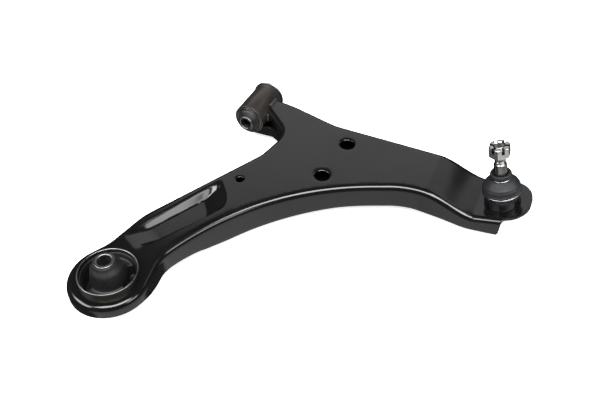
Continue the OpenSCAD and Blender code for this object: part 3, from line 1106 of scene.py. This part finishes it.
def make_ball_joint():
    def crimped(r, z, angle):
        if 1.2 < z < 4.2 and r > 18.0:
            r -= CRIMP_DEPTH * (0.5 + 0.5 * math.cos(CRIMPS * angle)) ** 3
        return r, z

    housing = rounded([
        (14.5, -17.0, 0.5), (18.2, -17.0, 1.0), (19.5, -15.6, 0.8), (19.5, 0.6, 0.3),
        (19.75, 1.4, 0.3), (19.75, 4.0, 0.5), (19.3, 5.0, 0.5), (18.5, 5.6, 0.4),
        (18.5, 9.3, 0.5), (13.4, 9.5, 0.6), (11.5, 7.8, 0.4), (11.5, 7.0, 0.3),
        (16.0, 4.4, 0.3), (16.0, -14.5, 0.3), (14.5, -16.4, 0.3)], 0.5)
    turned("ball_housing_shell", housing, AT_BALL, [HOUSING_PAINT], 45, "arm", "housing_black",
           "ball_housing", steps=6 * CRIMPS, shift=crimped)

    cap = rounded([
        (0, -16.9, 0), (10.0, -16.9, 1.0), (11.0, -16.3, 1.0), (14.4, -16.7, 0.2),
        (16.0, -14.5, 0.2), (0, -14.5, 0)], 0.5)
    turned("housing_cap", cap, AT_BALL, [HOUSING_PAINT], 45, "arm", "housing_black", "end_cap",
           steps=96)
    make_boot()
    make_stud()
    make_nut()


BOOT_OUTSIDE = [
    (19.6, 6.6), (20.4, 6.8), (20.3, 8.0), (20.5, 9.1), (21.2, 9.8), (21.2, 10.9), (20.7, 11.6),
    (20.75, 12.6), (20.3, 15.2),
    (19.0, 18.0), (16.9, 20.6), (14.2, 22.9), (11.9, 24.2), (10.6, 25.0), (10.3, 26.0),
    (10.6, 27.0), (11.4, 27.8), (11.8, 29.2), (11.6, 31.4), (11.0, 32.5)
]
BOOT_INSIDE = [
    (9.2, 32.6), (7.9, 31.4), (7.75, 29.0), (7.75, 26.5), (8.8, 24.2), (11.2, 22.2), (14.0, 20.3),
    (16.4, 18.0), (18.2, 14.8), (18.8, 11.6), (18.6, 8.6), (18.6, 6.8)
]
BOOT_FOOT, BOOT_SPLIT, BOOT_NECK = 9.5, 18.0, 25.5


SPAN_STEPS = 5


def spline(points):
    """A smooth line through the points (uniform Catmull-Rom)."""
    done = []
    for i in range(len(points) - 1):
        p0 = Vector(points[max(0, i - 1)])
        p1, p2 = Vector(points[i]), Vector(points[i + 1])
        p3 = Vector(points[min(len(points) - 1, i + 2)])
        for k in range(SPAN_STEPS):
            t = k / SPAN_STEPS
            a = 2 * p1
            b = p2 - p0
            c = 2 * p0 - 5 * p1 + 4 * p2 - p3
            d = -p0 + 3 * p1 - 3 * p2 + p3
            done.append((a + b * t + c * t * t + d * t ** 3) / 2)
    done.append(Vector(points[-1]))
    return done


def part_of(line, low, high):
    """The points of a line that runs up or down, between two heights, cut exactly at both."""
    kept = []
    for a, b in zip(line, line[1:]):
        if low <= a.y <= high:
            kept.append(a)
        for level in (low, high) if a.y < b.y else (high, low):
            if (a.y - level) * (b.y - level) < 0:
                kept.append(a.lerp(b, (level - a.y) / (b.y - a.y)))
    if low <= line[-1].y <= high:
        kept.append(line[-1])
    return kept


def ring_section(r, z, half_r, half_z):
    """The oval section of a boot's retaining ring."""
    return [Vector((r + half_r * math.cos(t), z + half_z * math.sin(t)))
            for t in (2 * math.pi * i / 16 for i in range(16))]


def make_boot():
    """The boot, cut at mid height into a lower and an upper part, and its two rings."""
    def folded(r, z, angle):
        depth = ease((z - BOOT_FOOT) / 3.0) * ease((BOOT_NECK - z) / 4.0)
        soft = noise.noise(Vector((math.cos(angle) * 1.7, math.sin(angle) * 1.7, z * 0.16)))
        return r + depth * (0.30 * soft + 0.14 * math.sin(2.1 * z)), z

    outside, inside_line = spline(BOOT_OUTSIDE), spline(BOOT_INSIDE)
    parts = [("boot_lower", 0.0, BOOT_SPLIT, "arm", "liner", BOOT_FOOT, BOOT_SPLIT),
             ("boot_upper", BOOT_SPLIT, 40.0, "liner", "boot_neck", BOOT_SPLIT, BOOT_NECK)]
    for name, low, high, still, moving, start, end in parts:
        profile = part_of(outside, low, high) + part_of(inside_line, low, high)
        boot = lathe(name, profile, AT_BALL, BOOT_RUBBER, steps=144, shift=folded)
        smooth(boot, 60)
        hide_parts("dust_boot")
        bend(boot, AT_BALL, still, moving, start, end)

    turned("boot_foot_ring", ring_section(20.75, 8.0, 0.55, 0.95), AT_BALL, [RING_STEEL], 180,
           "arm", "ring_steel", "boot_lower_ring", steps=128)
    turned("boot_neck_ring", ring_section(10.95, 26.0, 0.5, 0.85), AT_BALL, [RING_STEEL], 180,
           "boot_neck", "ring_steel", "boot_upper_ring", steps=96)


def thread_profile(r, depth, pitch, z0, z1):
    """The section of ridges at the thread's pitch."""
    points = []
    z = z0
    while z + pitch < z1:
        points += [(r - depth, z), (r, z + 0.42 * pitch), (r, z + 0.58 * pitch)]
        z += pitch
    points.append((r - depth, z))
    return points


def make_stud():
    threads = thread_profile(6.0, 0.62, 1.25, 47.2, 67.2)
    ball = [(0, -11.9), (4.0, -11.3), (8.4, -8.5), (11.2, -4.2), (12.0, 0), (11.2, 4.2),
            (9.0, 7.9), (6.6, 9.9)]
    neck = rounded([(6.6, 9.9), (6.0, 11.5), (6.0, 17.0), (7.6, 20.0), (7.7, 32.6), (7.0, 43.6),
                    (6.9, 44.6), (5.3, 46.2), (5.3, 47.0)], 1.0, closed=False)
    tip = [Vector(p) for p in [*threads, (5.3, 67.6), (4.9, 68.0), (1.3, 68.0), (0, 67.2)]]
    turned("ball_stud_pin", spline(ball) + neck[1:] + tip, AT_BALL, [STUD_STEEL], 38, "stud",
           "stud_steel", "ball_stud", steps=96, closed=False)


NUT_BASE, NUT_TOP, NUT_FLATS, NUT_TURN = 56.0, 68.5, 21.0, 33.5
NUT_BORE_R = 6.05
NUT_SLOT_W, NUT_SLOT_DEPTH = 3.4, 6.5
NUT_SLOT_FLOOR = NUT_TOP - NUT_SLOT_DEPTH


def slot_outline():
    half = NUT_SLOT_W / 2
    above = NUT_TOP + 2
    return rounded([(-half, NUT_SLOT_FLOOR, 0.6), (half, NUT_SLOT_FLOOR, 0.6),
                    (half, above, 0), (-half, above, 0)], 0)


def in_slot(q):
    """Whether a face's middle lies in the slot along X, where q is in the slot's own frame."""
    slack = 0.02
    return (abs(q.y) < NUT_SLOT_W / 2 + slack and abs(q.x) > NUT_BORE_R + 0.1
            and NUT_SLOT_FLOOR - slack < q.z < NUT_TOP - 0.9)


def make_nut():
    corner = NUT_FLATS / 2 / math.cos(math.radians(30))

    def hexagon(r, z, angle):
        within = (math.degrees(angle) + 30) % 60 - 30
        flat = NUT_FLATS / 2 / math.cos(math.radians(30 - abs(within)))
        return min(r, flat) if r > NUT_BORE_R + 1 else r, z

    # Chamfers: how far inside the corner, and how far from the nut's lower or upper face
    low = [(1.6, 0), (1.15, 0.2), (0.6, 0.55), (0.25, 0.85), (0, 1.3)]
    high = [(0, 2.1), (0.3, 1.5), (0.8, 0.85), (1.45, 0.3), (2.1, 0)]
    section = [(NUT_BORE_R, NUT_BASE + 0.8), (NUT_BORE_R + 0.8, NUT_BASE)]
    section += [(corner - inset, NUT_BASE + rise) for inset, rise in low]
    section += [(corner - inset, NUT_TOP - drop) for inset, drop in high]
    section += [(NUT_BORE_R + 0.8, NUT_TOP), (NUT_BORE_R, NUT_TOP - 0.8)]
    place = AT_BALL @ Matrix.Rotation(math.radians(NUT_TURN), 4, "Z")
    nut = lathe("castle_nut_body", [Vector(p) for p in section], place, ZINC, steps=120,
                shift=hexagon)
    turns = [place @ Matrix.Rotation(math.radians(angle), 4, "Z") for angle in (30, 90, 150)]
    for turn in turns:
        low_end, high_end = ([turn @ Vector((x, q.x, q.y)) for q in slot_outline()]
                             for x in (-20, 20))
        cut(nut, prism("slot_cut", low_end, high_end))
    clean(nut)
    # The faces inside the slots take the dark steel, painted shade where the slots lie in shadow.
    nut.data.materials.append(SLOT_PAINTED_SHADE)
    for face in nut.data.polygons:
        if any(in_slot(turn.inverted() @ (face.center / MM)) for turn in turns):
            face.material_index = 1
    smooth(nut, 28)
    stand(nut, "stud", "zinc", "castle_nut")


# ---------------------------------------------------------------- carried-over CAD nodes

def dress(node, material):
    obj = frame["nodes"][node]
    obj.data.materials.clear()
    obj.data.materials.append(material)


def bead(start, end, r, ripple, phase):
    """A welded bead: overlapping round scales along a line, tapering at both ends."""
    start, end = Vector(start), Vector(end)
    count = max(8, round((end - start).length / 0.35))
    points = [start.lerp(end, i / count) for i in range(count + 1)]

    def radius_at(i):
        along = i / count * (end - start).length
        taper = ease(min(i, count - i) / (0.12 * count) + 0.35)
        scale = abs(math.sin(math.pi * along / ripple + phase))
        return r * taper * (0.88 + 0.12 * scale)

    return tube_along(points, radius_at, sides=20)


BEAD_R, BEAD_RIPPLE = 2.5, 2.3
# Start, end and phase of each bead
BEADS = [
    ((18.6, -2.0, 10.0), (18.6, 15.0, 10.0), 0.3),
    ((19.9, -13.0, 5.0), (19.9, -13.0, -6.0), 1.1),
]


def make_tube_welds():
    """The two beads that show between the front tube and the stamping."""
    verts, faces = [], []
    for start, end, phase in BEADS:
        more, skin = bead(start, end, BEAD_R, BEAD_RIPPLE, phase)
        faces += [tuple(len(verts) + i for i in face) for face in skin]
        verts += more
    welds = new_object("tube_beads", verts, faces, WELD_PAINT_WITH_PAINTED_HIGHLIGHT)
    smooth(welds, 60)
    stand(welds, "arm", "weld_black", "tube_welds")


def dress_cad_nodes():
    for node in ("lower_plate", "front_saddle"):
        dress(node, ECOAT)
    for node in ("plate_welds", "housing_weld"):
        dress(node, WELD_PAINT_WITH_PAINTED_HIGHLIGHT)
    for node in ("ball_socket", "ball_liner", "pressure_disc"):
        dress(node, ACETAL)
    dress("preload_spring", RING_STEEL)


add_camera()
light_scene()
make_stamping()
make_front_bush()
make_rear_bush()
make_ball_joint()
make_tube_welds()
dress_cad_nodes()
